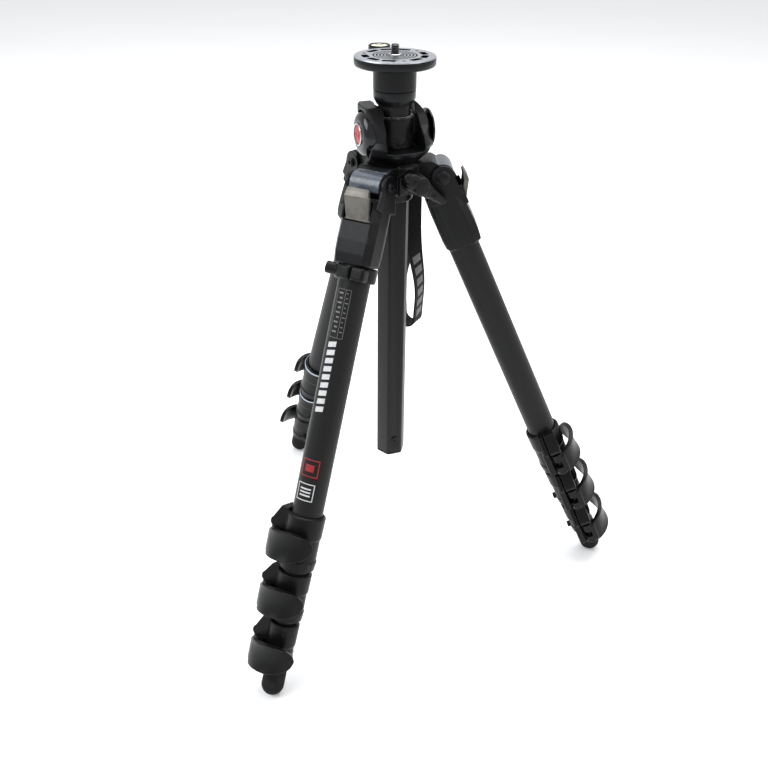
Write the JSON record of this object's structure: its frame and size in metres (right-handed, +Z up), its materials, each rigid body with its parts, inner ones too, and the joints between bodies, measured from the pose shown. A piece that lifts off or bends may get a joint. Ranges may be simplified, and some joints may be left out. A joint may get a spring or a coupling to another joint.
{
  "type": "camera tripod",
  "caption": "Compact carbon camera tripod with flip-lock telescoping legs, a hexagonal centre column in a swing bracket, a flat slotted head plate, a bubble level ring and a carrying strap",
  "frame": {"origin": "the middle of the footprint on the floor under the tripod, under its bounding box", "axes": "+Z up, along the centre column; the right leg points along +X"},
  "size_m": [0.3354, 0.3793, 0.4765],
  "materials": {
    "tube": "satin carbon fibre",
    "casting": "satin black paint",
    "lock": "fine-textured black",
    "pod": "gloss black",
    "plate": "satin grey, machined",
    "steel": "machined",
    "tab": "brushed, worn",
    "medallion": "gloss red",
    "rubber": "moulded",
    "webbing": "woven",
    "vial": "clear, pale yellow-green"
  },
  "bodies": {
    "shoulder": {"shoulder": "casting", "swing_bracket": "casting", "bracket_cap_left": "pod", "bracket_medallion": "medallion", "bracket_cap_right": "pod", "column_sleeve": "lock", "carrying_strap": "webbing", "leg_a_pivot_bolt": "steel", "leg_b_pivot_bolt": "steel", "leg_c_pivot_bolt": "steel"},
    "leg_a_upper": {"leg_a_casting": "casting", "leg_a_tube_1": "tube", "leg_a_collar_1": "lock", "accessory_ring": "lock"},
    "leg_a_section_2": {"leg_a_tube_2": "tube", "leg_a_collar_2": "lock"},
    "leg_a_section_3": {"leg_a_tube_3": "tube", "leg_a_collar_3": "lock"},
    "leg_a_section_4": {"leg_a_tube_4": "tube", "leg_a_foot": "rubber"},
    "leg_a_selector": {"leg_a_angle_selector": "tab"},
    "leg_a_lock_1": {"leg_a_lever_1": "lock"},
    "leg_a_lock_2": {"leg_a_lever_2": "lock"},
    "leg_a_lock_3": {"leg_a_lever_3": "lock"},
    "leg_b_upper": {"leg_b_casting": "casting", "leg_b_tube_1": "tube", "leg_b_collar_1": "lock"},
    "leg_b_section_2": {"leg_b_tube_2": "tube", "leg_b_collar_2": "lock"},
    "leg_b_section_3": {"leg_b_tube_3": "tube", "leg_b_collar_3": "lock"},
    "leg_b_section_4": {"leg_b_tube_4": "tube", "leg_b_foot": "rubber"},
    "leg_b_selector": {"leg_b_angle_selector": "tab"},
    "leg_b_lock_1": {"leg_b_lever_1": "lock"},
    "leg_b_lock_2": {"leg_b_lever_2": "lock"},
    "leg_b_lock_3": {"leg_b_lever_3": "lock"},
    "leg_c_upper": {"leg_c_casting": "casting", "leg_c_tube_1": "tube", "leg_c_collar_1": "lock"},
    "leg_c_section_2": {"leg_c_tube_2": "tube", "leg_c_collar_2": "lock"},
    "leg_c_section_3": {"leg_c_tube_3": "tube", "leg_c_collar_3": "lock"},
    "leg_c_section_4": {"leg_c_tube_4": "tube", "leg_c_foot": "rubber"},
    "leg_c_selector": {"leg_c_angle_selector": "tab"},
    "leg_c_lock_1": {"leg_c_lever_1": "lock"},
    "leg_c_lock_2": {"leg_c_lever_2": "lock"},
    "leg_c_lock_3": {"leg_c_lever_3": "lock"},
    "column": {"column_tube": "tube", "column_end_cap": "lock", "column_top_fitting": "lock", "head_plate": "plate", "head_screw": "steel"},
    "level": {"level_ring": "lock", "level_vial": "vial"},
    "lock_knob": {"column_lock_knob": "lock"},
    "end_button": {"column_end_button": "lock"}
  },
  "joints": [
    {"name": "leg_a_spread", "type": "hinge", "parent": "shoulder", "child": "leg_a_upper", "pos_m": [-0.066, -0.03134, 0.38337], "axis": [-0.866, 0.5, 0], "range_deg": [-24.45, 63.5]},
    {"name": "leg_a_slide_2", "type": "slide", "parent": "leg_a_upper", "child": "leg_a_section_2", "axis": [-0.2069, -0.3584, -0.9103], "range_m": [0, 0.262]},
    {"name": "leg_a_slide_3", "type": "slide", "parent": "leg_a_section_2", "child": "leg_a_section_3", "axis": [-0.2069, -0.3584, -0.9103], "range_m": [0, 0.262]},
    {"name": "leg_a_slide_4", "type": "slide", "parent": "leg_a_section_3", "child": "leg_a_section_4", "axis": [-0.2069, -0.3584, -0.9103], "range_m": [0, 0.262]},
    {"name": "leg_a_lever_1_turn", "type": "hinge", "parent": "leg_a_upper", "child": "leg_a_lock_1", "pos_m": [-0.14313, -0.12193, 0.1202], "axis": [-0.2069, -0.3584, -0.9103], "range_deg": [0, 100]},
    {"name": "leg_a_lever_2_turn", "type": "hinge", "parent": "leg_a_section_2", "child": "leg_a_lock_2", "pos_m": [-0.15128, -0.13945, 0.07787], "axis": [-0.2069, -0.3584, -0.9103], "range_deg": [0, 100]},
    {"name": "leg_a_lever_3_turn", "type": "hinge", "parent": "leg_a_section_3", "child": "leg_a_lock_3", "pos_m": [-0.15958, -0.15703, 0.03527], "axis": [-0.2069, -0.3584, -0.9103], "range_deg": [0, 100]},
    {"name": "leg_a_selector_press", "type": "hinge", "parent": "leg_a_upper", "child": "leg_a_selector", "pos_m": [-0.07527, -0.0474, 0.36192], "axis": [-0.866, 0.5, 0], "range_deg": [0, 10], "stiffness_Nm_per_rad": 0.2, "springref_deg": -5.73},
    {"name": "leg_b_spread", "type": "hinge", "parent": "shoulder", "child": "leg_b_upper", "pos_m": [-0.0105, 0.0007, 0.38337], "axis": [0, -1, 0], "range_deg": [-24.45, 63.5]},
    {"name": "leg_b_slide_2", "type": "slide", "parent": "leg_b_upper", "child": "leg_b_section_2", "axis": [0.4139, 0, -0.9103], "range_m": [0, 0.262]},
    {"name": "leg_b_slide_3", "type": "slide", "parent": "leg_b_section_2", "child": "leg_b_section_3", "axis": [0.4139, 0, -0.9103], "range_m": [0, 0.262]},
    {"name": "leg_b_slide_4", "type": "slide", "parent": "leg_b_section_3", "child": "leg_b_section_4", "axis": [0.4139, 0, -0.9103], "range_m": [0, 0.262]},
    {"name": "leg_b_lever_1_turn", "type": "hinge", "parent": "leg_b_upper", "child": "leg_b_lock_1", "pos_m": [0.10652, -0.0208, 0.1202], "axis": [0.4139, 0, -0.9103], "range_deg": [0, 100]},
    {"name": "leg_b_lever_2_turn", "type": "hinge", "parent": "leg_b_section_2", "child": "leg_b_lock_2", "pos_m": [0.12576, -0.0191, 0.07787], "axis": [0.4139, 0, -0.9103], "range_deg": [0, 100]},
    {"name": "leg_b_lever_3_turn", "type": "hinge", "parent": "leg_b_section_3", "child": "leg_b_lock_3", "pos_m": [0.14513, -0.0175, 0.03527], "axis": [0.4139, 0, -0.9103], "range_deg": [0, 100]},
    {"name": "leg_b_selector_press", "type": "hinge", "parent": "leg_b_upper", "child": "leg_b_selector", "pos_m": [0.00804, 0.0007, 0.36192], "axis": [0, -1, 0], "range_deg": [0, 10], "stiffness_Nm_per_rad": 0.2, "springref_deg": -5.73},
    {"name": "leg_c_spread", "type": "hinge", "parent": "shoulder", "child": "leg_c_upper", "pos_m": [-0.066, 0.03274, 0.38337], "axis": [0.866, 0.5, 0], "range_deg": [-24.45, 63.5]},
    {"name": "leg_c_slide_2", "type": "slide", "parent": "leg_c_upper", "child": "leg_c_section_2", "axis": [-0.2069, 0.3584, -0.9103], "range_m": [0, 0.262]},
    {"name": "leg_c_slide_3", "type": "slide", "parent": "leg_c_section_2", "child": "leg_c_section_3", "axis": [-0.2069, 0.3584, -0.9103], "range_m": [0, 0.262]},
    {"name": "leg_c_slide_4", "type": "slide", "parent": "leg_c_section_3", "child": "leg_c_section_4", "axis": [-0.2069, 0.3584, -0.9103], "range_m": [0, 0.262]},
    {"name": "leg_c_lever_1_turn", "type": "hinge", "parent": "leg_c_upper", "child": "leg_c_lock_1", "pos_m": [-0.10589, 0.14483, 0.1202], "axis": [-0.2069, 0.3584, -0.9103], "range_deg": [0, 100]},
    {"name": "leg_c_lever_2_turn", "type": "hinge", "parent": "leg_c_section_2", "child": "leg_c_lock_2", "pos_m": [-0.11699, 0.16065, 0.07787], "axis": [-0.2069, 0.3584, -0.9103], "range_deg": [0, 100]},
    {"name": "leg_c_lever_3_turn", "type": "hinge", "parent": "leg_c_section_3", "child": "leg_c_lock_3", "pos_m": [-0.12806, 0.17663, 0.03527], "axis": [-0.2069, 0.3584, -0.9103], "range_deg": [0, 100]},
    {"name": "leg_c_selector_press", "type": "hinge", "parent": "leg_c_upper", "child": "leg_c_selector", "pos_m": [-0.07527, 0.0488, 0.36192], "axis": [0.866, 0.5, 0], "range_deg": [0, 10], "stiffness_Nm_per_rad": 0.2, "springref_deg": -5.73},
    {"name": "column_lift", "type": "slide", "parent": "shoulder", "child": "column", "axis": [0, 0, 1], "range_m": [0, 0.235]},
    {"name": "level_turn", "type": "hinge", "parent": "column", "child": "level", "pos_m": [-0.0475, 0.0007, 0.4536], "axis": [0, 0, 1], "continuous": true},
    {"name": "lock_knob_turn", "type": "hinge", "parent": "shoulder", "child": "lock_knob", "pos_m": [-0.034, -0.02268, 0.3825], "axis": [0.5, -0.866, 0], "range_deg": [0, 270]},
    {"name": "end_button_press", "type": "slide", "parent": "column", "child": "end_button", "axis": [-0.3007, 0.9537, 0], "range_m": [0, 0.0025], "stiffness_N_per_m": 400, "springref_m": -0.002}
  ]
}
